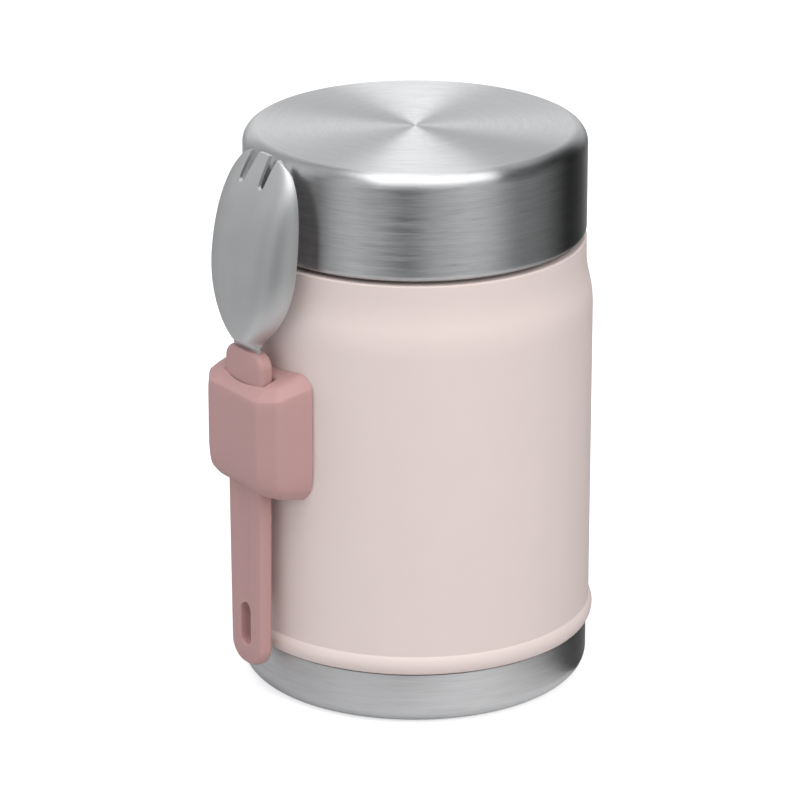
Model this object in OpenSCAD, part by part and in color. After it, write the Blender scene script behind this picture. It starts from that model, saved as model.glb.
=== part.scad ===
// Insulated food jar with a screw-on lid and a spork carried on its side.
// The jar stands on z = 0 and its axis is Z. The spork holder faces -Y.

/* [Barrel] */
// Outer radius of the painted barrel
barrel_r = 47; // [45:0.25:50]
// Height of the lower edge of the painted shell
paint_edge_z = 14.8; // [13:0.1:15.5]
// Height where the barrel starts to narrow
shoulder_z = 102; // [98:0.5:103]
// Height over which the shoulder narrows
shoulder_h = 15; // [12:0.5:16]
// How far the shoulder steps in
shoulder_in = 1.85; // [1.4:0.05:2.4]
// Height of the flat top of the painted shell
shell_top_z = 120.9; // [120:0.1:124]
// Rounding of the shell's top edge
shell_edge_r = 0.9; // [0.7:0.05:1.2]
// Wall of the painted shell
shell_wall = 0.6; // [0.4:0.05:0.8]
// Height that the bead takes up on the barrel
bead_h = 5; // [4:0.2:6.4]
// How far the bead stands out of the barrel
bead_out = 0.95; // [0.5:0.02:1.2]

/* [Base] */
// Height of the top edge of the base cup, inside the shell
base_top_z = 26; // [25:0.25:27]
// Wall of the base cup
base_wall = 0.6; // [0.4:0.05:0.8]
// Outer rounding at the foot
base_fillet = 5; // [4:0.25:6]
// Width of the flat foot ring
foot_w = 13; // [8:0.5:16]
// Depth of the recess inside the foot ring
recess_d = 1; // [0.6:0.1:1.6]
// Height of the floor that closes the vacuum
vacuum_floor_z = 10; // [8:0.25:10.5]
// Wall of that floor
vacuum_wall = 0.6; // [0.5:0.05:0.8]
// Rounding of that floor's corner
vacuum_fillet = 4; // [3:0.25:5]
// Radius of the dimple that holds the seal
dimple_r = 8; // [7:0.25:9]
// Depth of that dimple
dimple_d = 1.4; // [1.2:0.1:1.8]
// Radius of the evacuation hole
pump_hole_r = 1; // [0.6:0.1:1.4]
// Radius of the seal over that hole
seal_r = 3.2; // [2.6:0.1:4]
// Thickness of that seal
seal_h = 1.1; // [0.8:0.1:1.2]

/* [Liner] */
// Gap between the shell and the liner
vacuum_gap = 4.4; // [4:0.1:5]
// Wall of the liner
liner_wall = 0.6; // [0.4:0.05:0.8]
// Height of the underside of the liner
liner_floor_z = 16.4; // [15.8:0.1:18]
// Rounding of the liner's inner corner
liner_fillet = 6; // [5:0.25:7]
// Width of the liner's turned-in foot
liner_foot_w = 1.5; // [1.2:0.1:2]
// Distance from the shell's top down to where the liner starts to narrow
liner_shoulder_drop = 10.9; // [10.4:0.1:14]
// Height over which it narrows
liner_shoulder_h = 8; // [7:0.25:8.5]
// Thickness of the heat-reflecting foil
foil_t = 0.15; // [0.1:0.01:0.25]
// Distance of the foil from the ends of the straight liner
foil_inset = 6; // [4:0.5:10]
// Radius of the getter pellet
getter_r = 5; // [4:0.25:6]
// Thickness of the getter pellet
getter_h = 2.2; // [1.8:0.1:2.6]
// Distance of the getter from the axis
getter_x = 22; // [20:0.5:26]
// Thickness of the getter clip
clip_t = 0.4; // [0.3:0.05:0.5]
// Width of the clip's welded flange
clip_flange = 2.4; // [1.8:0.1:3]

/* [Neck] */
// Height of the neck ring above the painted shell
neck_h = 15.6; // [15:0.1:17]
// Wall of the neck ring under its thread
neck_wall = 1; // [0.8:0.05:1.2]
// Thickness of the flange under the shell's top
flange_t = 0.7; // [0.5:0.05:0.9]
// Width of that flange
flange_w = 2.6; // [2:0.1:3]
// Number of thread starts
thread_starts = 3; // [2:1:4]
// Distance between neighbouring threads
thread_pitch = 4; // [3.8:0.1:4.2]
// Height of the thread ridge
thread_h = 1.2; // [1.1:0.05:1.3]
// Width of the ridge at its root
thread_root_w = 2; // [1.7:0.05:2.2]
// Width of the ridge at its crest
thread_crest_w = 1; // [0.8:0.05:1.2]
// Height of the first thread above the painted shell
thread_z = 3.4; // [3:0.1:3.6]
// Length of each thread, in turns
thread_turns = 0.62; // [0.5:0.02:0.64]

/* [Lid] */
// How far the lid lies inside the shell's top
lid_inset = 0.05; // [0:0.01:0.1]
// Gap between the shell and the lid
lid_gap = 1.1; // [0.8:0.1:1.5]
// Height of the lid
lid_h = 28.3; // [27:0.1:30]
// Rounding of the lid's top edge
lid_fillet = 4; // [3:0.1:5]
// Radius of the curl at the lid's lower edge
lid_curl = 2; // [1.8:0.05:2.1]
// Wall of the lid cap
lid_wall = 0.6; // [0.5:0.05:0.8]
// Wall of the insert's skirt
skirt_wall = 1.8; // [1.6:0.05:2]
// Thickness of the insert's deck
deck_t = 2; // [1.6:0.1:2.4]
// Wall of the insert's plug
plug_wall = 1.6; // [1.3:0.1:2]
// Gap between the plug and the mouth
plug_gap = 1; // [0.8:0.05:1.2]
// How far the plug reaches below the deck
plug_h = 9; // [8:0.25:11]
// Thickness of the plate that closes the plug
plate_t = 1.5; // [1.2:0.1:2]
// Height of the plate's spigot
spigot_h = 3; // [2:0.1:4]
// Wall of the plate's spigot
spigot_wall = 1.2; // [1:0.1:1.5]
// Thickness of the gasket
gasket_t = 1.7; // [1.4:0.1:2]
// How far the gasket's lip reaches into the mouth
gasket_lip_h = 4; // [3:0.25:5]
// Thickness of that lip
gasket_lip_t = 0.4; // [0.3:0.05:0.45]

/* [Holder] */
// Height of the middle of the holder
holder_z = 77; // [74:0.5:79]
// Height of the holder's outward face
holder_face_h = 22.2; // [20:0.2:26]
// Half of the holder's flat outward face
holder_face_half = 10; // [9:0.1:11]
// Rounding of the holder's outward corners
holder_corner_r = 5.2; // [4.8:0.1:6]
// Wall in front of the slot
holder_wall = 2.7; // [2.5:0.1:3.5]
// Inset of the bevel at the holder's top and bottom
bevel_in = 3; // [2.4:0.1:3.4]
// Height of that bevel at the outward face
bevel_h = 2.6; // [2:0.1:3]
// Thickness of the adhesive pad
pad_t = 0.8; // [0.6:0.05:1]
// Half of the pad's width
pad_half = 12; // [9:0.25:13]
// Height of the pad
pad_h = 22; // [18:0.5:26]
// Height of the slot's ledge above the middle of the holder's underside
ledge_h = 7.2; // [6:0.2:8.4]

/* [Spork handle] */
// Gap between the barrel and the handle
handle_gap = 3.2; // [3:0.1:3.6]
// Thickness of the handle
handle_t = 4.1; // [3.9:0.1:4.4]
// Half of the handle's width at its head
head_half = 8.4; // [8.2:0.05:8.6]
// Half of the handle's width under its head
stem_half = 7.6; // [7.4:0.05:7.7]
// Half of the handle's width near its end
tail_half = 6.7; // [6.2:0.1:7]
// Length of the handle under its shoulder
stem_len = 59.3; // [54:0.5:62]
// Length of the handle's head
head_len = 28.8; // [27:0.2:31]
// How far the head's outward face bulges
head_crown = 0.6; // [0.4:0.05:0.8]
// Rounding of the head's top corners
head_corner_r = 4; // [3:0.1:5]
// Rounding of the handle's end
tail_corner_r = 5.4; // [4.5:0.1:5.8]
// Rounding of the handle's long edges
handle_edge_r = 1.3; // [1:0.05:1.5]
// Depth of the flute along the handle
flute_d = 0.35; // [0.2:0.05:0.5]
// Width of the hanging slot
hang_w = 4.6; // [4.4:0.1:5]
// Length of the hanging slot
hang_len = 11.9; // [10:0.1:13]
// Height of the slot's middle above the handle's end
hang_up = 11.3; // [10:0.1:13]

/* [Spork head] */
// Thickness of the spork's sheet
sheet_t = 1; // [0.8:0.05:1.2]
// Half of the neck's width
spork_neck_half = 6.3; // [5.8:0.05:6.5]
// Length of the bowl with its tines
bowl_len = 50.4; // [48:0.2:54]
// Half of the bowl's width
bowl_half = 16.3; // [16:0.1:18]
// Depth of the bowl
bowl_d = 7.9; // [6:0.1:9.4]
// How far the tip leans towards the jar
bowl_lean = 5.9; // [4.8:0.1:6]
// Length of the slots between the tines
tine_len = 7.9; // [6:0.1:9]
// Width of those slots at their roots
tine_gap = 2.4; // [2:0.1:2.8]
// Distance of those slots from the middle
tine_x = 4.4; // [4:0.1:4.8]
// Length of the tang inside the handle
tang_len = 34; // [30:0.5:38]
// Half of the tang's width
tang_half = 4.6; // [4:0.1:5]

/* [Fits] */
// Clearance between pieces that are pressed or welded together
fit_gap = 0.05; // [0.03:0.01:0.06]
// Clearance between pieces that lie on each other
rest_gap = 0.1; // [0.06:0.01:0.14]
// Clearance between pieces that slide or turn
slide_gap = 0.3; // [0.25:0.01:0.32]
// Clearance between the thread crests and their walls
thread_gap = 0.4; // [0.35:0.01:0.5]

/* [Hidden] */
$fn = 96;
over = 1;
sink = 0.5;
arc_steps = 8;

painted_pink = [0.86, 0.77, 0.75];
dusty_rose = [0.76, 0.56, 0.56];
bare_steel = [0.72, 0.72, 0.73];
satin_steel = [0.66, 0.68, 0.69];
foil_copper = [0.80, 0.55, 0.38];
getter_grey = [0.35, 0.35, 0.37];
seal_glass = [0.55, 0.62, 0.66];
insert_white = [0.90, 0.90, 0.88];
foam_white = [0.96, 0.96, 0.94];
gasket_clear = [0.92, 0.93, 0.93];
pad_grey = [0.60, 0.60, 0.60];

// Radii of the jar, from the outside in
shell_top_r = barrel_r - shoulder_in;
shell_in_r = barrel_r - shell_wall;
base_r = shell_in_r - fit_gap;
floor_r = base_r - base_wall - fit_gap;
liner_r = shell_in_r - vacuum_gap;

// Radii of the lid and the neck, from the outside in
lid_r = shell_top_r - lid_inset;
skirt_r = lid_r - lid_wall - 2 * fit_gap;
skirt_in_r = skirt_r - skirt_wall;
neck_crest_r = skirt_in_r - thread_gap;
neck_r = neck_crest_r - thread_h;
insert_crest_r = neck_r + thread_gap;
neck_in_r = neck_r - neck_wall;
liner_neck_r = neck_in_r - 2 * fit_gap;
mouth_r = liner_neck_r - liner_wall;
plug_r = mouth_r - plug_gap;
plug_in_r = plug_r - plug_wall;

// Heights of the neck and the lid, from the shell up
neck_top_z = shell_top_z + neck_h;
lip_z = neck_top_z + liner_wall;
deck_z = lip_z + rest_gap + gasket_t + rest_gap;
lid_z = shell_top_z + lid_gap;
lid_top_z = lid_z + lid_h;
skirt_z = lid_z + lid_wall + rest_gap;
plug_z = deck_z - plug_h;
thread_lead = thread_starts * thread_pitch;

// Distances of the spork and its holder from the axis, along -Y
handle_back_y = barrel_r + handle_gap;
handle_mid_y = handle_back_y + handle_t / 2;
handle_front_y = handle_back_y + handle_t;
slot_back_y = handle_back_y - slide_gap;
slot_front_y = handle_front_y + head_crown + slide_gap;
holder_face_y = slot_front_y + holder_wall;
pad_r = barrel_r + fit_gap + pad_t;

// Heights of the spork, which rests on the holder's ledge
holder_low_z = holder_z - holder_face_h / 2 - bevel_h;
ledge_z = holder_low_z + ledge_h;
shoulder_seat_z = ledge_z + rest_gap;
handle_low_z = shoulder_seat_z - stem_len;
handle_top_z = shoulder_seat_z + head_len;
bowl_z = handle_top_z + sheet_t;

// One bend in each half of a curve that steps from r0 to r0 - d over the height h
function bend_r(h, d) = (h * h + d * d) / (4 * d);
function bend_angle(h, d) = asin(h / 2 / bend_r(h, d));

// Points of an arc about c, from angle a0 to a1
function arc(c, r, a0, a1, n = arc_steps) =
    [for (i = [0 : n]) c + r * [cos(a0 + (a1 - a0) * i / n), sin(a0 + (a1 - a0) * i / n)]];

// Points of a curve that steps in by d over the height h, tangent to the walls at both ends
function step_in(r0, z0, h, d) =
    let (b = bend_r(h, d), a = bend_angle(h, d))
    concat(arc([r0 - b, z0], b, 0, a), arc([r0 - d + b, z0 + h], b, 180 + a, 180));

function reversed(p) = [for (i = [len(p) - 1 : -1 : 0]) p[i]];
function shifted(p, d) = [for (q = p) q + d];

// A closed body through rings of an even number of points, counter-clockwise about their direction
module loft(rings) {
    n = len(rings[0]);
    last = len(rings) - 1;
    points = [for (ring = rings) each ring];
    sides = [for (i = [0 : last - 1], j = [0 : n - 1])
        let (k = (j + 1) % n, a = i * n + j, b = i * n + k, c = b + n, d = a + n)
        each [[a, d, c], [a, c, b]]];
    caps = [for (j = [0 : n / 2 - 2])
        let (k = n - 1 - j, e = last * n)
        each [[j, j + 1, k - 1], [j, k - 1, k], [e + j, e + k - 1, e + j + 1], [e + j, e + k, e + k - 1]]];
    polyhedron(points = points, faces = concat(sides, caps), convexity = 10);
}

// Barrel

bead_bend = (bead_h * bead_h / 4 + bead_out * bead_out) / (2 * bead_out);
bead_angle = asin(bead_h / 2 / bead_bend);
bead_z = paint_edge_z + bead_h / 2;
shell_outline = concat(
    arc([barrel_r + bead_out - bead_bend, bead_z], bead_bend, -bead_angle, bead_angle),
    step_in(barrel_r, shoulder_z, shoulder_h, shoulder_in));

module outer_shell() {
    color(painted_pink)
    rotate_extrude()
    polygon(concat(
        shell_outline,
        arc([shell_top_r - shell_edge_r, shell_top_z - shell_edge_r], shell_edge_r, 0, 90),
        [[neck_r + fit_gap, shell_top_z],
         [neck_r + fit_gap, shell_top_z - shell_wall],
         [shell_top_r - shell_edge_r, shell_top_z - shell_wall],
         [shell_top_r - shell_wall, shell_top_z - shell_edge_r]],
        reversed(shifted(shell_outline, [-shell_wall, 0]))));
}

// Neck

thread_steps = 30;
fade_steps = 4;

// Ring of a thread between the radii r0 and r1, half as wide as w0 and w1 there
function thread_ring(a, z, r0, r1, w0, w1) =
    [for (p = [[r0, -w0], [r0, w0], [r1, w1], [r1, -w1]])
        [p[0] * cos(a), p[0] * sin(a), z + p[1] / 2]];

function fade(i) = min(1, i / fade_steps, (thread_steps - i) / fade_steps);
function thread_angle(i) = 360 * thread_turns * i / thread_steps;
function thread_rise(i) = thread_lead * thread_turns * i / thread_steps;

module neck_thread(z) {
    for (k = [0 : thread_starts - 1])
        rotate([0, 0, 360 * k / thread_starts])
        loft([for (i = [0 : thread_steps])
            thread_ring(thread_angle(i), z + thread_rise(i), neck_r - sink,
                        neck_r + thread_h * fade(i), thread_root_w, thread_crest_w)]);
}

module insert_thread(z) {
    for (k = [0 : thread_starts - 1])
        rotate([0, 0, 360 * (k + 0.5) / thread_starts])
        loft([for (i = [0 : thread_steps])
            thread_ring(thread_angle(i), z + thread_rise(i),
                        skirt_in_r - (skirt_in_r - insert_crest_r) * fade(i),
                        skirt_in_r + sink, thread_crest_w, thread_root_w)]);
}

module neck_ring() {
    flange_z = shell_top_z - shell_wall;
    color(bare_steel) {
        rotate_extrude()
        polygon([
            [neck_in_r, flange_z - flange_t], [neck_r + flange_w, flange_z - flange_t],
            [neck_r + flange_w, flange_z], [neck_r, flange_z],
            [neck_r, neck_top_z], [neck_in_r, neck_top_z]]);
        neck_thread(shell_top_z + thread_z);
    }
}

// Liner and vacuum

liner_d = liner_r - liner_neck_r;
liner_shoulder_z = shell_top_z - liner_shoulder_drop;
liner_in_fillet = liner_fillet - liner_wall;
liner_low_z = liner_floor_z + liner_wall;
liner_outline = concat(
    arc([liner_r - liner_fillet, liner_low_z + liner_fillet], liner_fillet, -90, 0),
    step_in(liner_r, liner_shoulder_z, liner_shoulder_h, liner_d),
    [[liner_neck_r, neck_top_z]]);
liner_in_outline = concat(
    [[mouth_r, lip_z]],
    reversed(shifted(step_in(liner_r, liner_shoulder_z, liner_shoulder_h, liner_d),
                     [-liner_wall, 0])),
    arc([liner_r - liner_fillet, liner_low_z + liner_fillet], liner_in_fillet, 0, -90));
liner_foot_r = liner_r - liner_fillet - liner_foot_w;

module inner_liner() {
    color(bare_steel)
    rotate_extrude()
    polygon(concat(
        [[liner_foot_r, liner_low_z]],
        liner_outline,
        [[neck_r, neck_top_z], [neck_r, lip_z]],
        liner_in_outline,
        [[liner_foot_r, liner_low_z + liner_wall]]));
}

module liner_bottom() {
    color(bare_steel)
    translate([0, 0, liner_floor_z])
    cylinder(r = liner_r - liner_fillet, h = liner_wall);
}

module reflector_foil() {
    foil_low_z = liner_low_z + liner_fillet + foil_inset;
    color(foil_copper)
    translate([0, 0, foil_low_z])
    difference() {
        cylinder(r = liner_r + fit_gap + foil_t, h = liner_shoulder_z - foil_inset - foil_low_z);
        translate([0, 0, -over])
        cylinder(r = liner_r + fit_gap, h = liner_shoulder_z + 2 * over);
    }
}

vacuum_top_z = vacuum_floor_z + vacuum_wall;

module getter_pellet() {
    color(getter_grey)
    translate([getter_x, 0, vacuum_top_z])
    cylinder(r = getter_r, h = getter_h);
}

module getter_clip() {
    clip_in_r = getter_r + fit_gap;
    clip_in_h = getter_h + fit_gap;
    color(bare_steel)
    translate([getter_x, 0, vacuum_top_z])
    rotate_extrude()
    polygon([
        [clip_in_r, 0], [clip_in_r + clip_flange, 0], [clip_in_r + clip_flange, clip_t],
        [clip_in_r + clip_t, clip_t], [clip_in_r + clip_t, clip_in_h + clip_t],
        [0, clip_in_h + clip_t], [0, clip_in_h], [clip_in_r, clip_in_h]]);
}

dimple_z = vacuum_floor_z + dimple_d;
dimple_flat_r = dimple_r - 2 * dimple_d;

module vacuum_floor() {
    corner = [floor_r - vacuum_fillet, vacuum_floor_z + vacuum_fillet];
    color(bare_steel)
    rotate_extrude()
    polygon(concat(
        [[pump_hole_r, dimple_z], [dimple_flat_r, dimple_z], [dimple_r, vacuum_floor_z]],
        arc(corner, vacuum_fillet, -90, 0),
        [[floor_r, base_top_z], [base_r, base_top_z], [base_r, base_top_z + vacuum_wall],
         [floor_r - vacuum_wall, base_top_z + vacuum_wall]],
        arc(corner, vacuum_fillet - vacuum_wall, 0, -90),
        [[dimple_r, vacuum_top_z], [dimple_flat_r, dimple_z + vacuum_wall],
         [pump_hole_r, dimple_z + vacuum_wall]]));
}

module vacuum_seal() {
    color(seal_glass)
    translate([0, 0, dimple_z - seal_h])
    cylinder(r = seal_r, h = seal_h);
}

// Base

module base_cup() {
    corner = [base_r - base_fillet, base_fillet];
    foot_r = base_r - base_fillet - foot_w;
    recess_r = foot_r - recess_d;
    color(bare_steel)
    rotate_extrude()
    polygon(concat(
        [[0, recess_d], [recess_r, recess_d], [foot_r, 0]],
        arc(corner, base_fillet, -90, 0),
        [[base_r, base_top_z], [base_r - base_wall, base_top_z]],
        arc(corner, base_fillet - base_wall, 0, -90),
        [[foot_r, base_wall], [recess_r, recess_d + base_wall], [0, recess_d + base_wall]]));
}

// Holder

side_angle = 78;
corner_steps = 6;
face_slope_share = 0.2;
roof_slope_share = 0.36;
holder_back_y = barrel_r - holder_wall;
corner_y = holder_face_y - holder_corner_r;

// Half-width of the holder's side, inset by d, at the distance y from the axis
function side_x(y, d) =
    holder_face_half + (holder_corner_r - d + (corner_y - y) * cos(side_angle)) / sin(side_angle);

// Outline of the holder, inset by d
function holder_half(d) = concat(
    arc([holder_face_half, -corner_y], holder_corner_r - d, -90, side_angle - 90, corner_steps),
    [[side_x(holder_back_y, d), -holder_back_y]]);
function holder_outline(d) = concat(
    reversed([for (p = holder_half(d)) [-p[0], p[1]]]), holder_half(d));

// Ring of the holder at the height z of its outward face, rising towards the barrel
function holder_ring(d, z, slope) =
    [for (p = holder_outline(d)) [p[0], p[1], z + slope * (holder_face_y + p[1])]];

module slot(half, low_z, high_z) {
    translate([-half, -slot_front_y, low_z])
    cube([2 * half, slot_front_y - slot_back_y, high_z - low_z]);
}

module spork_holder() {
    half_h = holder_face_h / 2;
    roof_h = half_h + bevel_h - roof_slope_share * bevel_in / 2;
    color(dusty_rose)
    difference() {
        loft([
            holder_ring(bevel_in, holder_z - roof_h, -roof_slope_share),
            holder_ring(0, holder_z - half_h, -face_slope_share),
            holder_ring(0, holder_z + half_h, face_slope_share),
            holder_ring(bevel_in, holder_z + roof_h, roof_slope_share)]);
        translate([0, 0, -over])
        cylinder(r = barrel_r + rest_gap, h = shell_top_z);
        intersection() {
            translate([0, 0, holder_z - pad_h / 2 - fit_gap])
            cylinder(r = pad_r + fit_gap, h = pad_h + 2 * fit_gap);
            translate([-pad_half - fit_gap, -holder_face_y, 0])
            cube([2 * (pad_half + fit_gap), holder_face_y, shell_top_z]);
        }
        slot(stem_half + slide_gap, paint_edge_z, shell_top_z);
        slot(head_half + slide_gap, ledge_z, shell_top_z);
    }
}

module holder_pad() {
    color(pad_grey)
    intersection() {
        translate([0, 0, holder_z - pad_h / 2])
        difference() {
            cylinder(r = pad_r, h = pad_h);
            translate([0, 0, -over])
            cylinder(r = barrel_r + fit_gap, h = pad_h + 2 * over);
        }
        translate([-pad_half, -holder_face_y, 0])
        cube([2 * pad_half, holder_face_y, shell_top_z]);
    }
}

// Lid

module lid_cap() {
    top_c = [lid_r - lid_fillet, lid_top_z - lid_fillet];
    curl_c = [lid_r - lid_curl, lid_z + lid_curl];
    color(bare_steel)
    rotate_extrude()
    polygon(concat(
        arc(curl_c, lid_curl, -90, 0),
        arc(top_c, lid_fillet, 0, 90),
        [[0, lid_top_z], [0, lid_top_z - lid_wall]],
        arc(top_c, lid_fillet - lid_wall, 90, 0),
        arc(curl_c, lid_curl - lid_wall, 0, -90)));
}

skirt_top_z = lid_top_z - lid_fillet;

module lid_insert() {
    curl_r = lid_curl - lid_wall;
    color(insert_white) {
        rotate_extrude()
        polygon([
            [skirt_in_r, skirt_z], [skirt_r - curl_r / 2, skirt_z],
            [skirt_r, lid_z + lid_curl], [skirt_r, skirt_top_z],
            [skirt_in_r, skirt_top_z], [skirt_in_r, deck_z + deck_t],
            [plug_in_r, deck_z + deck_t], [plug_in_r, plug_z],
            [plug_r, plug_z], [plug_r, deck_z], [skirt_in_r, deck_z]]);
        insert_thread(shell_top_z + thread_z);
    }
}

module lid_plate() {
    edge = plate_t / 2;
    plate_z = plug_z - fit_gap - plate_t;
    spigot_r = plug_in_r - fit_gap;
    color(insert_white)
    rotate_extrude()
    polygon([
        [0, plate_z], [plug_r - edge, plate_z], [plug_r, plate_z + edge],
        [plug_r, plate_z + plate_t], [spigot_r, plate_z + plate_t],
        [spigot_r, plate_z + plate_t + spigot_h],
        [spigot_r - spigot_wall, plate_z + plate_t + spigot_h],
        [spigot_r - spigot_wall, plate_z + plate_t], [0, plate_z + plate_t]]);
}

module lid_foam() {
    low_z = plug_z + rest_gap;
    step_z = plug_z + spigot_h + rest_gap;
    spigot_in_r = plug_in_r - fit_gap - spigot_wall - rest_gap;
    foam_top_z = lid_top_z - lid_wall - rest_gap;
    wide_r = skirt_in_r - rest_gap;
    color(foam_white)
    rotate_extrude()
    polygon([
        [0, low_z], [spigot_in_r, low_z], [spigot_in_r, step_z],
        [plug_in_r - rest_gap, step_z], [plug_in_r - rest_gap, deck_z + deck_t + rest_gap],
        [wide_r, deck_z + deck_t + rest_gap], [wide_r, skirt_top_z],
        [lid_r - lid_fillet, foam_top_z], [0, foam_top_z]]);
}

module lid_gasket() {
    low_z = lip_z + rest_gap;
    inner_r = plug_r + slide_gap;
    color(gasket_clear)
    rotate_extrude()
    polygon([
        [inner_r, low_z - gasket_lip_h], [inner_r + gasket_lip_t, low_z - gasket_lip_h],
        [inner_r + gasket_lip_t, low_z], [neck_r, low_z],
        [neck_r, low_z + gasket_t], [inner_r, low_z + gasket_t]]);
}

// Spork

bowl_columns = 18;
heel_rows = 9;
tip_rows = 11;
bowl_section = 4;
bowl_side_power = 0.5;
heel_outline = 1.8;
tip_outline = 3.1;
tip_end_share = 0.995;
wide_share = 0.46;
deep_share = 0.39;
heel_depth_share = 0.52;
tip_depth_power = 2.4;
neck_bend_share = 0.28;
neck_bend_power = 8;
neck_blend_power = 8;
tine_flare = 0.25;
tine_lean = 1.1;
wide_z = bowl_z + wide_share * bowl_len;
deep_z = bowl_z + deep_share * bowl_len;
bowl_top_z = bowl_z + bowl_len;
neck_low_z = handle_top_z - head_corner_r;
neck_y = handle_mid_y - sheet_t / 2;

// Distance along the bowl, 0 at its heel and 1 at its tip
function along(z) = max(0, min(1, (z - bowl_z) / bowl_len));

// Distance of the rim from the axis, at the height z
function rim_y(z) = neck_y - bowl_lean
    + bowl_lean * (1 - neck_bend_share) * (1 - along(z))
    + bowl_lean * neck_bend_share * pow(1 - along(z), neck_bend_power);

tang_low_z = handle_top_z - tang_len;

// Half-width of the bowl without its neck, at the height z
function oval_half(z) =
    z < wide_z
    ? bowl_half * pow(max(0, 1 - pow((wide_z - z) / (wide_z - bowl_z), heel_outline)),
                      1 / heel_outline)
    : bowl_half * pow(max(0, 1 - pow((z - wide_z) / (bowl_top_z - wide_z), tip_outline)),
                      1 / tip_outline);

// The tang steps out to the neck, whose width blends into the oval below the widest place
function sheet_half(z) =
    z < neck_low_z
    ? tang_half
    : z < wide_z
    ? bowl_half * pow(pow(oval_half(z) / bowl_half, neck_blend_power)
                      + pow(spork_neck_half / bowl_half, neck_blend_power), 1 / neck_blend_power)
    : oval_half(z);

// Depth of the bowl under its rim, at the height z
function sheet_depth(z) =
    z <= bowl_z ? 0
    : z < deep_z
    ? bowl_d * pow(1 - pow((deep_z - z) / (deep_z - bowl_z), 2), heel_depth_share)
    : bowl_d * (1 - pow((z - deep_z) / (bowl_top_z - deep_z), tip_depth_power));

function across(j) = sin(90 * (2 * j / bowl_columns - 1));
function section(s) = pow(max(0, 1 - pow(abs(s), bowl_section)), bowl_side_power);

// Ring of the sheet at the height z: its outward side, then its hollow side
function sheet_ring(z) =
    let (w = sheet_half(z), d = sheet_depth(z), y = rim_y(z), m = min(1, d / (2 * sheet_t)))
    concat(
        [for (j = [0 : bowl_columns]) let (s = across(j))
            [w * s, -(y + sheet_t * (1 - m) + (d + sheet_t * m) * section(s)), z]],
        [for (j = [bowl_columns : -1 : 0]) let (s = across(j))
            [(w - sheet_t * m) * s, -(y + d * section(s)), z]]);

sheet_heights = concat(
    [tang_low_z, neck_low_z - fit_gap, neck_low_z, (neck_low_z + bowl_z) / 2],
    [for (i = [0 : heel_rows]) wide_z - (wide_z - bowl_z) * cos(90 * i / heel_rows)],
    [for (i = [1 : tip_rows])
        wide_z + (bowl_top_z - wide_z) * tip_end_share * sin(90 * i / tip_rows)]);

module tine_slot() {
    root_z = bowl_top_z - tine_len;
    r = tine_gap / 2;
    translate([0, -rim_y(root_z) + bowl_lean, 0])
    rotate([90, 0, 0])
    linear_extrude(bowl_d + 2 * bowl_lean) {
        translate([tine_x, root_z + r])
        circle(r);
        polygon([
            [tine_x - r, root_z + r], [tine_x + r, root_z + r],
            [tine_x + r + tine_flare, bowl_top_z + over],
            [tine_x - r - tine_lean, bowl_top_z + over]]);
    }
}

module spork_head() {
    color(satin_steel)
    difference() {
        loft([for (z = sheet_heights) sheet_ring(z)]);
        tine_slot();
        mirror([1, 0, 0]) tine_slot();
    }
}

edge_steps = 4;
front_steps = 9;
tail_rows = 6;
stem_rows = 5;
head_rows = 6;
step_h = rest_gap;

// Half-width of the handle at the height z
function tail_round(z) =
    let (t = min(1, (z - handle_low_z) / tail_corner_r))
    tail_corner_r * (1 - sqrt(max(0, 1 - (1 - t) * (1 - t))));
function head_round(z) =
    let (t = min(1, (handle_top_z - z) / head_corner_r))
    head_corner_r * (1 - sqrt(max(0, 1 - (1 - t) * (1 - t))));
function stem_width(z) =
    tail_half + (stem_half - tail_half) * (z - handle_low_z) / stem_len - tail_round(z);

// How much the handle thins at its two ends
function end_thin(z) =
    handle_edge_r / 2 * (tail_round(z) / tail_corner_r + head_round(z) / head_corner_r);

// Ring of the handle: half-width a, bulge c and flute f of the outward face
function handle_ring(z, a, c, f) =
    let (r = min(handle_edge_r, a / 2), b = handle_t / 2 - end_thin(z))
    [for (p = concat(
        arc([-a + r, -b + r], r, 180, 270, edge_steps),
        [for (i = [1 : front_steps - 1]) [(a - r) * (2 * i / front_steps - 1), -b]],
        arc([a - r, -b + r], r, 270, 360, edge_steps),
        arc([a - r, b - r], r, 0, 90, edge_steps),
        arc([-a + r, b - r], r, 90, 180, edge_steps)))
        let (s = min(1, abs(p[0]) / a), u = abs(p[0]) / hang_w,
             bulge = p[1] < 0 ? c * (1 - s * s) - f * max(0, 1 - u * u) : 0)
        [p[0], p[1] - handle_mid_y - bulge, z]];

tail_top_z = handle_low_z + tail_corner_r;
head_flat_z = handle_top_z - head_corner_r;
handle_rings = concat(
    [for (i = [0 : tail_rows])
        let (z = handle_low_z + tail_corner_r * (1 - cos(90 * i / tail_rows)))
        handle_ring(z, stem_width(z), 0, 0)],
    [for (i = [1 : stem_rows])
        let (z = tail_top_z + (shoulder_seat_z - step_h - tail_top_z) * i / stem_rows)
        handle_ring(z, stem_width(z), 0, i < stem_rows ? flute_d : 0)],
    [handle_ring(shoulder_seat_z, head_half, head_crown, 0)],
    [for (i = [0 : head_rows])
        let (z = head_flat_z + head_corner_r * sin(90 * i / head_rows))
        handle_ring(z, head_half - head_round(z), head_crown, 0)]);

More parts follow.
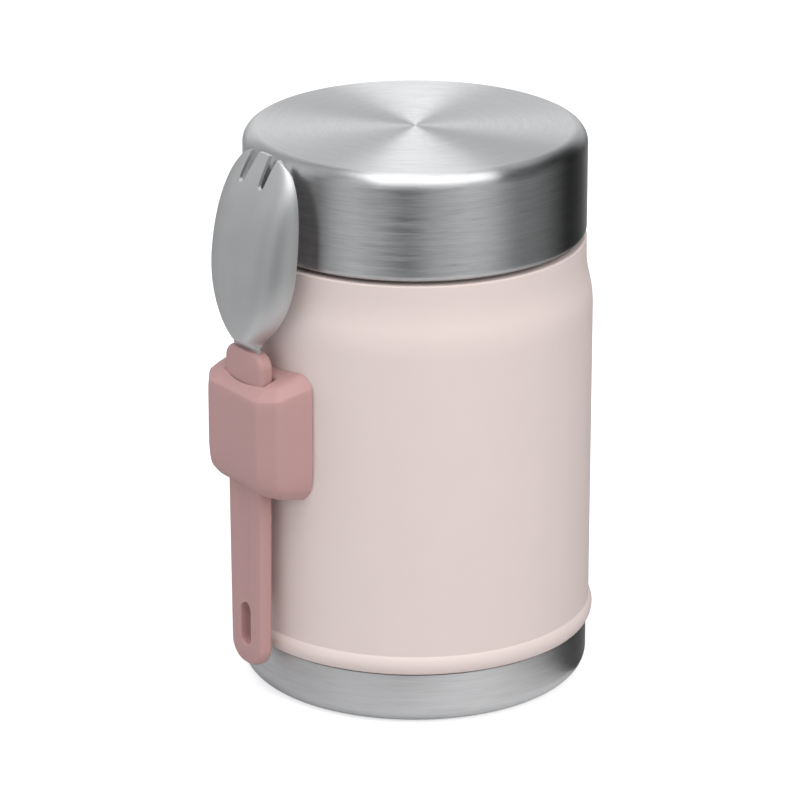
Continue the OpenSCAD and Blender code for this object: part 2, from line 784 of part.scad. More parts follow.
module spork_handle() {
    slit_y = neck_y + sheet_t + fit_gap;
    slit_t = sheet_t + 2 * fit_gap;
    neck_half = spork_neck_half + fit_gap;
    hang_r = hang_w / 2;
    hang_half = hang_len / 2 - hang_r;
    color(dusty_rose)
    difference() {
        loft(handle_rings);
        translate([-neck_half, -slit_y, neck_low_z - 2 * fit_gap])
        cube([2 * neck_half, slit_t, head_len]);
        translate([-tang_half - fit_gap, -slit_y, tang_low_z - fit_gap])
        cube([2 * (tang_half + fit_gap), slit_t, tang_len]);
        translate([0, -handle_mid_y + handle_t, handle_low_z + hang_up])
        rotate([90, 0, 0])
        linear_extrude(2 * handle_t)
        union() {
            for (side = [-1, 1])
                translate([0, side * hang_half])
                circle(hang_r);
            square([hang_w, 2 * hang_half], center = true);
        }
    }
}

outer_shell();
neck_ring();
inner_liner();
liner_bottom();
reflector_foil();
getter_pellet();
getter_clip();
vacuum_floor();
vacuum_seal();
base_cup();
holder_pad();
spork_holder();
lid_gasket();
lid_cap();
lid_insert();
lid_foam();
lid_plate();
spork_head();
spork_handle();
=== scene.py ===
import math

import bmesh
import bpy
from mathutils import Matrix, Vector


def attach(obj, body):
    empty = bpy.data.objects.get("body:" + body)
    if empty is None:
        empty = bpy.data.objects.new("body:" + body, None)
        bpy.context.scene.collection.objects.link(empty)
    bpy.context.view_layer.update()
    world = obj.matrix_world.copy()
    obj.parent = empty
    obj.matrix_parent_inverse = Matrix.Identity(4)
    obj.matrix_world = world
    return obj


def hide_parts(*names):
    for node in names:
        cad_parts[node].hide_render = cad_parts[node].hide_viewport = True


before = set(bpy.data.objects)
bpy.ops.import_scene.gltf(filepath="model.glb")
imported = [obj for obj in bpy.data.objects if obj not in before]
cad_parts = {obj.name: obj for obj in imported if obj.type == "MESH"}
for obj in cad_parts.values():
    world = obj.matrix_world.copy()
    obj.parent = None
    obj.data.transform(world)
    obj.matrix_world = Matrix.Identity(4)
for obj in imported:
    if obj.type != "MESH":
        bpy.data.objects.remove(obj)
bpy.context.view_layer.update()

MM = 0.001
AROUND = 256
CLOSE = 1e-6

# Sizes in mm, with heights above the resting plane. They are the CAD model's own where it has them.
# Those whose comment names the CAD model differ from it, because they follow the photo more finely.
BARREL_R = 47.0
PAINT_EDGE_Z = 14.8
SHOULDER_Z = 102.0
SHOULDER_H = 15.0
SHOULDER_IN = 1.85
SHELL_TOP_Z = 121.15            # 120.9 in the CAD model
SHELL_EDGE_R = 0.45             # 0.9 in the CAD model
SHELL_WALL = 0.6
SHELL_FOOT_R = 0.29             # rounds the paint's lower edge
SHELL_NECK_GAP = 0.05
SHELL_MID_Z = 60.0
BEAD_Z = 17.3
BEAD_H = 5.0
BEAD_OUT = 0.95
NECK_R = 41.0

BASE_R = 46.35
BASE_TOP_Z = 26.0
BASE_WALL = 0.6
BASE_FILLET = 5.0
FOOT_W = 13.0
RECESS_D = 1.0
BASE_RIM_Z = 14.3               # a groove under the paint, not in the CAD model
GROOVE_D = 0.35
GROOVE_H = 0.2

LID_R = 45.1
LID_Z = 122.0
LID_TOP_Z = 150.3
LID_FILLET = 4.0
LID_CURL = 2.0
LID_WALL = 0.6

HOLDER_Z = 77.0
HOLDER_FACE_Y = 57.9
HOLDER_FACE_H = 22.2
HOLDER_CORNER = [(11.1, HOLDER_FACE_Y), (16.3, 54.3)]     # round in the CAD model
HOLDER_BACK_HALF = 17.4         # 0.3 wider than in the CAD model
HOLDER_BACK_Y = 44.3
CORNER_SHARES = (0.10, 0.14)
BEVEL_IN = 3.0
BEVEL_H = 2.6
BEVEL_SHARES = (0.5, 0.35, 0.14, 0.5)
FACE_SLOPE = 0.2
FACE_RISE = 0.3
ROOF_SLOPE = 0.36
ROOF_IN = 6.0
RIM_SLOPE = 0.12                # the underside is steeper in the CAD model
FLOOR_SLOPE = 0.18
FLOOR_BEVEL_H = 3.9
FLOOR_IN = 4.4
BARREL_GAP = 0.1
BARREL_CUT_Z = (40, 110)
LEDGE_Z = 70.5
PAD_R = 47.85
PAD_HALF = 12.05
PAD_H = 22.1
PAD_CUT_Y = (-30.0, -55.0)
SLOT_BACK_Y = 49.9
SLOT_FRONT_Y = 55.2
SLOT_BOW = 1.6
SLIDE_GAP = 0.3
HEAD_CUT_TOP_Z = 115.0
HEAD_FLARE = 0.7
STEM_CUT_Z = (80.0, 40.0)
STEM_FLARE = 0.4

HANDLE_MID_Y = 52.25
HANDLE_T = 4.1
HEAD_HALF = 8.6                 # 8.4 in the CAD model
STEM_HALF = 8.0                 # 7.6 in the CAD model
TAIL_HALF = 7.0                 # 6.7 in the CAD model
HANDLE_LOW_Z = 11.3
SEAT_Z = 70.6
SEAT_STEP = 0.1
HANDLE_TOP_Z = 99.4
HEAD_CROWN = 0.6
HEAD_CORNER_R = 4.0
TAIL_CORNER_R = 5.4
HANDLE_EDGE_R = 1.3
FLUTE_D = 0.45                  # 0.35 in the CAD model
FLUTE_HALF = 2.8                # wider in the CAD model
HANG_W = 4.6
HANG_LEN = 11.9
HANG_Z = 22.6
HANG_FLARE = 0.45
HANG_OVERRUN = 1.5

SHEET_T = 1.0
SHEET_EDGE = 0.25
NECK_HALF = 5.6                 # 6.3 in the CAD model
NECK_Y = 51.75
NECK_LOW_Z = 95.4
NECK_RISE = 0.5                 # 0 in the CAD model
BOWL_Z = 100.4
BOWL_LEN = 50.4
BOWL_HALF = 16.3
BOWL_D = 7.9
BOWL_LEAN = 5.9
LEAN_SHARE = 0.72
HEEL_LEAN_SHARE = 0.28
HEEL_LEAN_POWER = 8
BOWL_TOP_Z = BOWL_Z + BOWL_LEN
WIDE_Z = BOWL_Z + 0.46 * BOWL_LEN
DEEP_Z = BOWL_Z + 0.39 * BOWL_LEN
HEEL_OVAL = 1.8
TIP_OVAL = 3.1
NECK_BLEND = 8
HEEL_DEPTH_POWER = 0.52
TIP_DEPTH_POWER = 2.4
SIDE_POWER = 4
TIP_SHARE = 0.995
TINE_LEN = 7.9
TINE_GAP = 2.4
TINE_X = 4.4
TINE_OUTER_FLARE = 0.25
TINE_INNER_FLARE = 1.125
TINE_CUT_Y = (-60.0, -38.0)

# The photo's camera: place in metres, angles in radians, lens and sensor in mm, and its azimuth
EYE = (0.967800, -0.677663, 0.508363)
EYE_YAW = -0.003287
EYE_PITCH = 0.352301
EYE_ROLL = 0.001139
EYE_TURN = math.radians(55)
LENS = 212.905
EYE_AZIMUTH = math.radians(-35)
SENSOR_WIDTH = 36.0

# The floor, in metres. The steel mirrors only its near part, whose edge is given as pairs of an angle
# to the camera's right and a distance from the jar's axis.
NEAR_REACH = 0.100
NEAR_EDGE = [
    (0, NEAR_REACH), (50, 0.078), (70, 0.054), (80, 0.043), (150, 0.043),
    (200, NEAR_REACH), (360, NEAR_REACH),
]
FAR_REACH = 4
FLOOR_SIDES = 96
FLOOR_GREY = 0.62
FLOOR_GLOW = 0.64
MIRRORED_TILT = 5.2
MIRRORED_TILT_MOST = 0.3

# Brightness round the horizon, by the angle from the camera, positive to its right
RING = [
    (-180, 0.58), (-160, 0.36), (-140, 0.34), (-115, 0.50), (-95, 0.55), (-80, 0.44), (-67, 0.18),
    (-58, 0.40), (-49, 0.54), (-40, 0.58), (-31, 0.42), (-23, 0.30), (-14, 0.14), (-6, 0.04),
    (2, 0.12), (10, 0.30), (19, 0.40), (27, 0.48), (35, 0.58), (44, 0.56), (53, 0.50),
    (62, 0.36), (72, 0.22), (83, 0.21), (94, 0.18), (107, 0.10), (120, 0.02), (145, 0.05),
    (158, 0.20), (172, 0.36), (180, 0.58),
]

# Brightness of the panels that the steel shows, of the wall behind the jar and of the ground, and a
# coordinate that no direction reaches
OVERHEAD_GLOW = 2.1
ASIDE_GLOW = 0.60
STRIP_GLOW = 0.75
WALL_GLOW = 0.42
GROUND_GLOW = 0.95
ANYWHERE = 2.0

scene = bpy.context.scene


# Mesh making

def arc(cx, cy, r, a0, a1, n):
    """Points of an arc about (cx, cy), from the angle a0 to a1 in degrees."""
    angles = [math.radians(a0 + (a1 - a0) * i / n) for i in range(n + 1)]
    return [(cx + r * math.cos(a), cy + r * math.sin(a)) for a in angles]


def step_in(r0, z0, h, d, n=14):
    """A curve that steps in by d over the height h, tangent to the walls at both ends."""
    b = (h * h + d * d) / (4 * d)
    a = math.degrees(math.asin(h / 2 / b))
    return arc(r0 - b, z0, b, 0, a, n) + arc(r0 - d + b, z0 + h, b, 180 + a, 180, n)[1:]


def finished(name, bm, mat, sharp=38.0):
    """An object of the mesh, smooth but for edges sharper than the angle sharp."""
    bmesh.ops.remove_doubles(bm, verts=bm.verts, dist=CLOSE)
    bmesh.ops.recalc_face_normals(bm, faces=bm.faces)
    mesh = bpy.data.meshes.new(name)
    bm.to_mesh(mesh)
    bm.free()
    obj = bpy.data.objects.new(name, mesh)
    scene.collection.objects.link(obj)
    if mat is not None:
        mesh.materials.append(mat)
    smooth(mesh, sharp)
    return obj


def smooth(mesh, sharp):
    """Smooth shading, but for edges sharper than the angle sharp."""
    for face in mesh.polygons:
        face.use_smooth = True
    mesh.set_sharp_from_angle(angle=math.radians(sharp))


def weighted(obj):
    """Lets the large faces set the shading at their edges."""
    mod = obj.modifiers.new("weighted", "WEIGHTED_NORMAL")
    mod.keep_sharp = True
    mod.weight = 100


def lathe(name, profile, mat, sharp=38.0):
    """A closed profile of (radius, height) turned about Z."""
    bm = bmesh.new()
    rings = []
    for r, z in profile:
        if r < CLOSE:
            rings.append([bm.verts.new((0, 0, z * MM))])
            continue
        ring = []
        for i in range(AROUND):
            a = 2 * math.pi * i / AROUND
            ring.append(bm.verts.new((r * math.cos(a) * MM, r * math.sin(a) * MM, z * MM)))
        rings.append(ring)
    for p, q in zip(rings, rings[1:] + rings[:1]):
        if len(p) == 1 and len(q) == 1:
            continue
        for i in range(AROUND):
            k = (i + 1) % AROUND
            if len(p) == 1:
                bm.faces.new((p[0], q[k], q[i]))
            elif len(q) == 1:
                bm.faces.new((p[i], p[k], q[0]))
            else:
                bm.faces.new((p[i], p[k], q[k], q[i]))
    return finished(name, bm, mat, sharp)


def loft(name, rings, mat, sharp=38.0):
    """A closed body through rings of points in mm, with its two ends filled."""
    bm = bmesh.new()
    rows = [[bm.verts.new(Vector(p) * MM) for p in ring] for ring in rings]
    n = len(rows[0])
    for p, q in zip(rows, rows[1:]):
        for j in range(n):
            k = (j + 1) % n
            bm.faces.new((p[j], p[k], q[k], q[j]))
    bm.faces.new(rows[0][::-1])
    bm.faces.new(rows[-1])
    return finished(name, bm, mat, sharp)


def combine(obj, tool, operation):
    """Cuts tool out of obj or keeps what both share, and removes tool."""
    mod = obj.modifiers.new("combine", "BOOLEAN")
    mod.operation = operation
    mod.solver = "EXACT"
    mod.object = tool
    bpy.context.view_layer.update()
    graph = bpy.context.evaluated_depsgraph_get()
    mesh = bpy.data.meshes.new_from_object(obj.evaluated_get(graph))
    obj.modifiers.clear()
    old = obj.data
    obj.data = mesh
    bpy.data.meshes.remove(old)
    bpy.data.objects.remove(tool)


def cut(obj, cutters, sharp=38.0):
    """Takes the cutters out of obj, one after the other."""
    for cutter in cutters:
        combine(obj, cutter, "DIFFERENCE")
    smooth(obj.data, sharp)


# Materials

def link(tree, value, socket):
    """Joins a socket's output to socket, or writes a constant there."""
    if isinstance(value, (int, float, tuple)):
        socket.default_value = value
    else:
        tree.links.new(value, socket)


def calc(tree, op, a, b=0.0):
    """One sum of two values."""
    n = tree.nodes.new("ShaderNodeMath")
    n.operation = op
    link(tree, a, n.inputs[0])
    link(tree, b, n.inputs[1])
    return n.outputs[0]


def noise(tree, vector, scale, detail, rough):
    """A noise texture's value at vector."""
    n = tree.nodes.new("ShaderNodeTexNoise")
    n.inputs["Scale"].default_value = scale
    n.inputs["Detail"].default_value = detail
    n.inputs["Roughness"].default_value = rough
    tree.links.new(vector, n.inputs["Vector"])
    return n.outputs["Fac"]


def spread(tree, value, low, high, start=0.3, end=0.7):
    """Maps a noise's middle part to low..high."""
    n = tree.nodes.new("ShaderNodeMapRange")
    link(tree, value, n.inputs["Value"])
    n.inputs["From Min"].default_value = start
    n.inputs["From Max"].default_value = end
    n.inputs["To Min"].default_value = low
    n.inputs["To Max"].default_value = high
    return n.outputs["Result"]


def tinted(tree, color, factor):
    """color times factor."""
    n = tree.nodes.new("ShaderNodeVectorMath")
    n.operation = "SCALE"
    n.inputs[0].default_value = color
    link(tree, factor, n.inputs["Scale"])
    return n.outputs[0]


def bump(tree, bsdf, height, strength, distance):
    """Gives the shader a relief of height."""
    n = tree.nodes.new("ShaderNodeBump")
    n.inputs["Strength"].default_value = strength
    n.inputs["Distance"].default_value = distance
    tree.links.new(height, n.inputs["Height"])
    tree.links.new(n.outputs["Normal"], bsdf.inputs["Normal"])


def started(name, metallic, rough, spec=0.5):
    """A new material's tree, shader and object coordinates."""
    mat = bpy.data.materials.new(name)
    mat.use_nodes = True
    tree = mat.node_tree
    bsdf = tree.nodes["Principled BSDF"]
    bsdf.inputs["Metallic"].default_value = metallic
    bsdf.inputs["Roughness"].default_value = rough
    bsdf.inputs["Specular IOR Level"].default_value = spec
    coord = tree.nodes.new("ShaderNodeTexCoord").outputs["Object"]
    return mat, tree, bsdf, coord


def turned_lines(tree, coord, around, across):
    """A vector that runs slowly round Z and fast across it, for brushing round the axis."""
    split = tree.nodes.new("ShaderNodeSeparateXYZ")
    tree.links.new(coord, split.inputs[0])
    x = split.outputs["X"]
    y = split.outputs["Y"]
    z = split.outputs["Z"]
    squares = calc(tree, "ADD", calc(tree, "MULTIPLY", x, x), calc(tree, "MULTIPLY", y, y))
    r = calc(tree, "SQRT", squares)
    safe = calc(tree, "MAXIMUM", r, 1e-5)
    join = tree.nodes.new("ShaderNodeCombineXYZ")
    link(tree, calc(tree, "MULTIPLY", calc(tree, "DIVIDE", x, safe), around), join.inputs["X"])
    link(tree, calc(tree, "MULTIPLY", calc(tree, "DIVIDE", y, safe), around), join.inputs["Y"])
    link(tree, calc(tree, "MULTIPLY", calc(tree, "ADD", r, z), across), join.inputs["Z"])
    return join.outputs[0]


def turned_steel(name, color, rough, aniso, streak=0.16, grooves=0.03):
    """Steel brushed round the Z axis."""
    mat, tree, bsdf, coord = started(name, 1.0, rough)
    lines = turned_lines(tree, coord, around=6.0, across=3200.0)
    fine = noise(tree, lines, scale=1.0, detail=3.0, rough=0.7)
    broad_lines = turned_lines(tree, coord, around=2.4, across=900.0)
    broad = noise(tree, broad_lines, scale=1.0, detail=2.0, rough=0.5)
    both = calc(tree, "ADD", calc(tree, "MULTIPLY", fine, 0.65), calc(tree, "MULTIPLY", broad, 0.35))
    link(tree, tinted(tree, color, spread(tree, both, 1 - streak, 1 + streak)), bsdf.inputs["Base Color"])
    link(tree, spread(tree, both, rough - 0.05, rough + 0.05), bsdf.inputs["Roughness"])
    bump(tree, bsdf, fine, strength=grooves, distance=0.00003)
    bsdf.inputs["Anisotropic"].default_value = aniso
    bsdf.inputs["Anisotropic Rotation"].default_value = 0.25
    tangent = tree.nodes.new("ShaderNodeTangent")
    tangent.direction_type = "RADIAL"
    tangent.axis = "Z"
    tree.links.new(tangent.outputs[0], bsdf.inputs["Tangent"])
    return mat


def satin_steel(name, color, rough, grain=0.06):
    """Bead-blasted steel sheet."""
    mat, tree, bsdf, coord = started(name, 1.0, rough)
    fine = noise(tree, coord, scale=5200.0, detail=3.0, rough=0.6)
    broad = noise(tree, coord, scale=120.0, detail=3.0, rough=0.5)
    link(tree, tinted(tree, color, spread(tree, broad, 0.97, 1.03)), bsdf.inputs["Base Color"])
    link(tree, spread(tree, fine, rough - 0.04, rough + 0.04), bsdf.inputs["Roughness"])
    bump(tree, bsdf, fine, strength=grain, distance=0.00004)
    return mat


def moulded(name, color, rough, spec, grain, size, depth=0.00006):
    """Matte moulded plastic or paint with a fine grain."""
    mat, tree, bsdf, coord = started(name, 0.0, rough, spec)
    fine = noise(tree, coord, scale=size, detail=3.0, rough=0.6)
    broad = noise(tree, coord, scale=90.0, detail=3.0, rough=0.5)
    both = calc(tree, "ADD", calc(tree, "MULTIPLY", fine, 0.5), calc(tree, "MULTIPLY", broad, 0.5))
    link(tree, tinted(tree, color, spread(tree, both, 0.985, 1.015)), bsdf.inputs["Base Color"])
    link(tree, spread(tree, fine, rough - 0.03, rough + 0.03), bsdf.inputs["Roughness"])
    bump(tree, bsdf, fine, strength=grain, distance=depth)
    return mat


def foil(name, color):
    """Thin bright foil with faint creases."""
    mat, tree, bsdf, coord = started(name, 1.0, 0.22)
    cells = tree.nodes.new("ShaderNodeTexVoronoi")
    cells.inputs["Scale"].default_value = 220.0
    tree.links.new(coord, cells.inputs["Vector"])
    broad = noise(tree, coord, scale=160.0, detail=4.0, rough=0.6)
    link(tree, tinted(tree, color, spread(tree, broad, 0.93, 1.05)), bsdf.inputs["Base Color"])
    creases = calc(tree, "ADD", cells.outputs["Distance"], calc(tree, "MULTIPLY", broad, 0.6))
    bump(tree, bsdf, creases, strength=0.25, distance=0.0004)
    return mat


def cellular(name, color, rough, cell):
    """Foam with open cells, whose pits are painted darker as shade."""
    mat, tree, bsdf, coord = started(name, 0.0, rough, 0.25)
    cells = tree.nodes.new("ShaderNodeTexVoronoi")
    cells.inputs["Scale"].default_value = cell
    tree.links.new(coord, cells.inputs["Vector"])
    pits = cells.outputs["Distance"]
    # painted shade: the colour darkens towards each cell's pit, where the bump is lowest
    painted_pit_shade = spread(tree, pits, 0.86, 1.02, start=0.0, end=0.6)
    link(tree, tinted(tree, color, painted_pit_shade), bsdf.inputs["Base Color"])
    bump(tree, bsdf, pits, strength=0.5, distance=0.0003)
    return mat


def clear(name, color, rough, passes):
    """Translucent silicone or glass."""
    mat, tree, bsdf, coord = started(name, 0.0, rough)
    broad = noise(tree, coord, scale=180.0, detail=3.0, rough=0.5)
    link(tree, tinted(tree, color, spread(tree, broad, 0.96, 1.03)), bsdf.inputs["Base Color"])
    bsdf.inputs["Transmission Weight"].default_value = passes
    bsdf.inputs["IOR"].default_value = 1.43
    bump(tree, bsdf, broad, strength=0.05, distance=0.0002)
    return mat


PINK = (0.742, 0.634, 0.607)
ROSE = (0.486, 0.290, 0.280)
pink_paint = moulded("pink_paint", PINK, 0.55, spec=0.30, grain=0.10, size=3000.0, depth=0.00004)
rose_plastic = moulded("rose_plastic", ROSE, 0.50, spec=0.35, grain=0.16, size=2400.0)
lid_steel = turned_steel("lid_steel", (0.600, 0.610, 0.620), 0.32, aniso=0.95)
base_steel = turned_steel("base_steel", (0.745, 0.750, 0.760), 0.44, aniso=0.70, streak=0.10)
neck_steel = turned_steel("neck_steel", (0.600, 0.600, 0.605), 0.28, aniso=0.50)
liner_steel = turned_steel("liner_steel", (0.590, 0.590, 0.595), 0.26, aniso=0.60)
inner_steel = satin_steel("inner_steel", (0.560, 0.560, 0.565), 0.35)
spork_steel = satin_steel("spork_steel", (0.660, 0.668, 0.676), 0.52)
copper_foil = foil("copper_foil", (0.80, 0.46, 0.30))
getter_metal = cellular("getter_metal", (0.11, 0.11, 0.12), 0.75, cell=2600.0)
seal_glass = clear("seal_glass", (0.42, 0.50, 0.54), 0.12, passes=0.25)
insert_plastic = moulded("insert_plastic", (0.78, 0.78, 0.75), 0.42, spec=0.45, grain=0.10, size=2200.0)
foam_white = cellular("foam_white", (0.88, 0.88, 0.85), 0.90, cell=900.0)
silicone = clear("silicone", (0.84, 0.86, 0.86), 0.38, passes=0.35)
pad_foam = cellular("pad_foam", (0.40, 0.40, 0.40), 0.90, cell=1600.0)

# The CAD model's own pieces that stay in view or inside, each with its material
NODE_MATERIALS = {
    "neck_ring": neck_steel,
    "inner_liner": liner_steel,
    "liner_bottom": liner_steel,
    "reflector_foil": copper_foil,
    "getter_pellet": getter_metal,
    "getter_clip": inner_steel,
    "vacuum_floor": inner_steel,
    "vacuum_seal": seal_glass,
    "holder_pad": pad_foam,
    "lid_gasket": silicone,
    "lid_insert": insert_plastic,
    "lid_foam": foam_white,
    "lid_plate": insert_plastic,
}
for node, mat in NODE_MATERIALS.items():
    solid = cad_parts[node]
    if not solid.material_slots:
        solid.data.materials.append(mat)
    for material_slot in solid.material_slots:
        material_slot.material = mat


# Painted shell

def shell_profile():
    """From the paint's lower edge up over bead, barrel and shoulder, and back down inside."""
    bend = (BEAD_H * BEAD_H / 4 + BEAD_OUT * BEAD_OUT) / (2 * BEAD_OUT)
    top = math.degrees(math.asin(BEAD_H / 2 / bend))
    bead = arc(BARREL_R + BEAD_OUT - bend, BEAD_Z, bend, -top, top, 32)
    wall = bead + [(BARREL_R, SHELL_MID_Z)] + step_in(BARREL_R, SHOULDER_Z, SHOULDER_H, SHOULDER_IN)
    r_top = BARREL_R - SHOULDER_IN
    inside = [(r - SHELL_WALL, z) for r, z in reversed(wall)]
    edge = SHELL_FOOT_R
    foot_r = wall[0][0]
    foot = arc(foot_r - edge, PAINT_EDGE_Z + edge, edge, -90, 0, 5)
    inner_foot = arc(foot_r - SHELL_WALL + edge, PAINT_EDGE_Z + edge, edge, 180, 270, 5)
    hole_r = NECK_R + SHELL_NECK_GAP
    return (
        foot + wall[1:]
        + arc(r_top - SHELL_EDGE_R, SHELL_TOP_Z - SHELL_EDGE_R, SHELL_EDGE_R, 0, 90, 10)
        + [(hole_r, SHELL_TOP_Z), (hole_r, SHELL_TOP_Z - SHELL_WALL)]
        + [(r_top - SHELL_EDGE_R, SHELL_TOP_Z - SHELL_WALL)]
        + [(r_top - SHELL_WALL, SHELL_TOP_Z - SHELL_EDGE_R)]
        + inside[:-1] + inner_foot
    )


shell = lathe("painted_shell", shell_profile(), pink_paint)
weighted(shell)
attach(shell, "jar")
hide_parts("outer_shell")


# Base

def base_profile():
    """From the recess underneath round the foot and up the side, and back inside."""
    cx = BASE_R - BASE_FILLET
    foot_r = cx - FOOT_W
    recess_r = foot_r - RECESS_D
    groove_r = BASE_R - GROOVE_D
    return (
        [(0, RECESS_D), (recess_r, RECESS_D), (foot_r, 0)]
        + arc(cx, BASE_FILLET, BASE_FILLET, -90, 0, 24)
        + [(BASE_R, BASE_RIM_Z), (groove_r, BASE_RIM_Z + GROOVE_H), (groove_r, BASE_TOP_Z)]
        + [(BASE_R - BASE_WALL, BASE_TOP_Z)]
        + arc(cx, BASE_FILLET, BASE_FILLET - BASE_WALL, 0, -90, 12)
        + [(foot_r, BASE_WALL), (recess_r, RECESS_D + BASE_WALL), (0, RECESS_D + BASE_WALL)]
    )


base = lathe("steel_base", base_profile(), base_steel, 40)
weighted(base)
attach(base, "jar")
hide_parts("base_cup")


# Lid

def lid_profile():
    """From the curled lower edge up the side and over the top, and back inside."""
    cx = LID_R - LID_FILLET
    cz = LID_TOP_Z - LID_FILLET
    ux = LID_R - LID_CURL
    uz = LID_Z + LID_CURL
    return (
        arc(ux, uz, LID_CURL, -90, 0, 16)
        + arc(cx, cz, LID_FILLET, 0, 90, 32)
        + [(0, LID_TOP_Z), (0, LID_TOP_Z - LID_WALL)]
        + arc(cx, cz, LID_FILLET - LID_WALL, 90, 0, 12)
        + arc(ux, uz, LID_CURL - LID_WALL, 0, -90, 8)
    )


lid = lathe("lid_cover", lid_profile(), lid_steel)
weighted(lid)
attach(lid, "lid")
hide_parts("lid_cap")


# Holder

def rounded_path(points, reach, n=5):
    """The points with each inner corner rounded by a curve that takes its share of both sides."""
    out = [points[0]]
    for a, b, c, share in zip(points, points[1:], points[2:], reach):
        p = tuple(bi + (ai - bi) * share for ai, bi in zip(a, b))
        q = tuple(bi + (ci - bi) * share for bi, ci in zip(b, c))
        for i in range(n + 1):
            t = i / n
            out.append(tuple(
                (1 - t) ** 2 * pi + 2 * t * (1 - t) * bi + t * t * qi
                for pi, bi, qi in zip(p, b, q)))
    return out + [points[-1]]


def inset(a, b, d):
    """A point and the direction of the line from a to b, moved d to its right."""
    length = math.hypot(b[0] - a[0], b[1] - a[1])
    u = ((b[0] - a[0]) / length, (b[1] - a[1]) / length)
    return (a[0] + d * u[1], a[1] - d * u[0]), u


def crossing(first, second):
    """Where two lines cross, each given by a point and a direction."""
    (ax, ay), (ux, uy) = first
    (bx, by), (vx, vy) = second
    t = ((bx - ax) * vy - (by - ay) * vx) / (ux * vy - uy * vx)
    return (ax + t * ux, ay + t * uy)


def holder_outline(d):
    """Half outline from the face over the cut corner back to the barrel, then mirrored, inset by d."""
    marks = [(0.0, HOLDER_FACE_Y), *HOLDER_CORNER, (HOLDER_BACK_HALF, HOLDER_BACK_Y)]
    lines = [inset(a, b, d) for a, b in zip(marks, marks[1:])]
    back = crossing(lines[2], ((0.0, HOLDER_BACK_Y), (1.0, 0.0)))
    path = [(0.0, HOLDER_FACE_Y - d), crossing(lines[0], lines[1]), crossing(lines[1], lines[2]), back]
    half = rounded_path(path, CORNER_SHARES, 6)[1:-1]
    low = half[-1]
    for i in range(1, 5):
        half.append((low[0] + (back[0] - low[0]) * i / 4, low[1] + (back[1] - low[1]) * i / 4))
    half = [(x, -y) for x, y in half]
    face = [(half[0][0] * t / 4, half[0][1]) for t in range(-3, 4)]
    return [(-x, y) for x, y in reversed(half)] + face + half


def holder_ring(d, z, slope):
    """The outline inset by d, at the height z at the face and rising by slope towards the barrel."""
    return [(x, y, z + slope * (HOLDER_FACE_Y + y)) for x, y in holder_outline(d)]


def slot_cutter(name, half, low_z, high_z, flare_z, slope, flare):
    """A prism with a bowed front that widens round its mouth at the sloping roof."""
    def ring(e, z, tilt):
        w = half + e
        back = SLOT_BACK_Y - e
        front = SLOT_FRONT_Y + e
        points = [(-w, -back)]
        for i in range(25):
            s = -1 + 2 * i / 24
            points.append((w * s, -(front - SLOT_BOW * s * s)))
        points.append((w, -back))
        return [(x, y, z + tilt * (HOLDER_FACE_Y + y)) for x, y in points]
    sign = 1 if high_z > flare_z else -1
    rings = [ring(0, low_z, 0)]
    rings.append(ring(0, flare_z - sign * flare, slope))
    for i in range(1, 7):
        a = math.pi / 2 * i / 6
        rings.append(ring(flare * (1 - math.cos(a)), flare_z - sign * flare * (1 - math.sin(a)), slope))
    rings.append(ring(flare, high_z, slope))
    return loft(name, rings, None)


def disc(name, r, low_z, high_z):
    """A solid cylinder on the jar's axis."""
    return lathe(name, [(0, low_z), (r, low_z), (r, high_z), (0, high_z)], None)


def pad_cutter():
    """The room of the adhesive pad, curved as the barrel is."""
    low_z = HOLDER_Z - PAD_H / 2
    high_z = low_z + PAD_H
    back, front = PAD_CUT_Y
    outline = [(-PAD_HALF, back), (-PAD_HALF, front), (PAD_HALF, front), (PAD_HALF, back)]
    block = loft("pad_cut", [[(x, y, z) for x, y in outline] for z in (low_z, high_z)], None)
    room = disc("pad_tool", PAD_R, low_z, high_z)
    combine(room, block, "INTERSECT")
    return room


face_low_z = HOLDER_Z - HOLDER_FACE_H / 2
face_high_z = HOLDER_Z + HOLDER_FACE_H / 2
roof_h = HOLDER_FACE_H / 2 + BEVEL_H - ROOF_SLOPE * BEVEL_IN / 2
floor_h = HOLDER_FACE_H / 2 + FLOOR_BEVEL_H - FLOOR_SLOPE * BEVEL_IN / 2
roof_z = HOLDER_Z + roof_h
floor_z = HOLDER_Z - floor_h
path = rounded_path([
    (FLOOR_IN, floor_z, -FLOOR_SLOPE),
    (BEVEL_IN, floor_z, -FLOOR_SLOPE),
    (0.0, face_low_z, -RIM_SLOPE),
    (0.0, face_high_z + FACE_RISE, FACE_SLOPE),
    (BEVEL_IN, roof_z, ROOF_SLOPE),
    (ROOF_IN, roof_z, ROOF_SLOPE),
], BEVEL_SHARES)
holder = loft("holder_body", [holder_ring(*p) for p in path], rose_plastic, 50)
head_half = HEAD_HALF + SLIDE_GAP
stem_half = STEM_HALF + SLIDE_GAP
cut(holder, [
    disc("barrel_cut", BARREL_R + BARREL_GAP, *BARREL_CUT_Z),
    pad_cutter(),
    slot_cutter("head_cut", head_half, LEDGE_Z, HEAD_CUT_TOP_Z, roof_z, ROOF_SLOPE, HEAD_FLARE),
    slot_cutter("stem_cut", stem_half, *STEM_CUT_Z, floor_z, -FLOOR_SLOPE, STEM_FLARE),
], 50)
weighted(holder)
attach(holder, "jar")
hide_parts("spork_holder")


# Spork handle

def corner_round(t, r):
    """How far a corner of radius r draws the side in, at the share t of its height."""
    t = min(1.0, max(0.0, t))
    return r * (1 - math.sqrt(max(0.0, 1 - (1 - t) ** 2)))


def tail_round(z):
    return corner_round((z - HANDLE_LOW_Z) / TAIL_CORNER_R, TAIL_CORNER_R)


def head_round(z):
    return corner_round((HANDLE_TOP_Z - z) / HEAD_CORNER_R, HEAD_CORNER_R)


